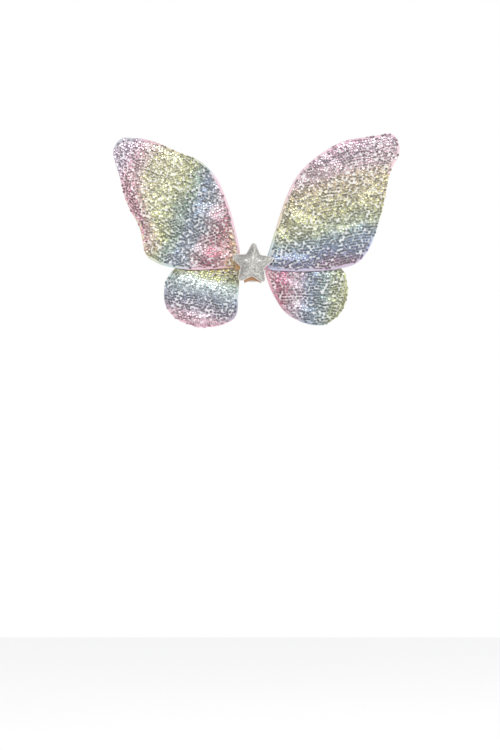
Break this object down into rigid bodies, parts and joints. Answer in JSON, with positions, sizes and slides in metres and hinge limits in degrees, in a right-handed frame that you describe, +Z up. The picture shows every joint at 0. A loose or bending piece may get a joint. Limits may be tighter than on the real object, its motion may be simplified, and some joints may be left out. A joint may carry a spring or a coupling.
{
  "type": "fairy wings",
  "caption": "Child's butterfly-shaped dress-up wings: wire-framed sequinned lobes round a padded star, worn by elastic arm loops.",
  "frame": {"origin": "on the face of the back patch that lies against the wearer, straight behind the middle of the star", "axes": "+Z up, +X towards the right of a viewer looking at the sequins, sequins face -Y, and +Y points into the wearer's back"},
  "size_m": [0.3149, 0.1034, 0.2132],
  "materials": {
    "spring_wire": "bright drawn spring wire",
    "crimp_metal": "pressed sleeve",
    "casing_fabric": "soft pastel rainbow knit, folded over the wire",
    "sequin_fabric": "round cup sequins in rainbow pastel tints on mesh",
    "lining_mesh": "fine pastel rainbow mesh",
    "patch_felt": "pressed white felt",
    "gathered_fabric": "bunched orange-brown end of the rainbow fabric",
    "label_satin": "blank white satin tape",
    "star_felt": "grey felt",
    "star_filling": "polyester filling",
    "star_glitter": "silver glitter cloth",
    "silver_thread": "silver sewing thread",
    "elastic": "white woven elastic",
    "white_thread": "white sewing thread"
  },
  "bodies": {
    "centre": {"back_patch": "patch_felt", "gathered_centre": "gathered_fabric", "care_label": "label_satin", "star_felt_back": "star_felt", "star_filling": "star_filling", "star_glitter_front": "star_glitter", "star_stitching": "silver_thread", "left_strap_ends": "elastic", "right_strap_ends": "elastic", "left_bar_tacks": "white_thread", "right_bar_tacks": "white_thread"},
    "left_upper_wing": {"left_upper_wire": "spring_wire", "left_upper_crimp_sleeve": "crimp_metal", "left_upper_casing": "casing_fabric", "left_upper_sequin_face": "sequin_fabric", "left_upper_lining": "lining_mesh"},
    "right_upper_wing": {"right_upper_wire": "spring_wire", "right_upper_crimp_sleeve": "crimp_metal", "right_upper_casing": "casing_fabric", "right_upper_sequin_face": "sequin_fabric", "right_upper_lining": "lining_mesh"},
    "left_lower_wing": {"left_lower_wire": "spring_wire", "left_lower_crimp_sleeve": "crimp_metal", "left_lower_casing": "casing_fabric", "left_lower_sequin_face": "sequin_fabric", "left_lower_lining": "lining_mesh"},
    "right_lower_wing": {"right_lower_wire": "spring_wire", "right_lower_crimp_sleeve": "crimp_metal", "right_lower_casing": "casing_fabric", "right_lower_sequin_face": "sequin_fabric", "right_lower_lining": "lining_mesh"},
    "left_arm_loop": {"left_strap": "elastic"},
    "right_arm_loop": {"right_strap": "elastic"}
  },
  "joints": [
    {"name": "left_upper_wing_flap", "type": "hinge", "parent": "centre", "child": "left_upper_wing", "pos_m": [-0.016, -0.0078, 0], "axis": [0, 0, 1], "range_deg": [-6, 38]},
    {"name": "left_lower_wing_flap", "type": "hinge", "parent": "left_upper_wing", "child": "left_lower_wing", "pos_m": [-0.016, -0.0046, 0], "axis": [0, 0, 1], "range_deg": [-8, 0]},
    {"name": "left_arm_loop_swing", "type": "hinge", "parent": "centre", "child": "left_arm_loop", "pos_m": [-0.0118, -0.0004, 0], "axis": [0, 0, 1], "range_deg": [-8, 8]},
    {"name": "right_upper_wing_flap", "type": "hinge", "parent": "centre", "child": "right_upper_wing", "pos_m": [0.016, -0.0078, 0], "axis": [0, 0, 1], "range_deg": [-38, 6]},
    {"name": "right_lower_wing_flap", "type": "hinge", "parent": "right_upper_wing", "child": "right_lower_wing", "pos_m": [0.016, -0.0046, 0], "axis": [0, 0, 1], "range_deg": [0, 8]},
    {"name": "right_arm_loop_swing", "type": "hinge", "parent": "centre", "child": "right_arm_loop", "pos_m": [0.0118, -0.0004, 0], "axis": [0, 0, 1], "range_deg": [-8, 8]}
  ]
}
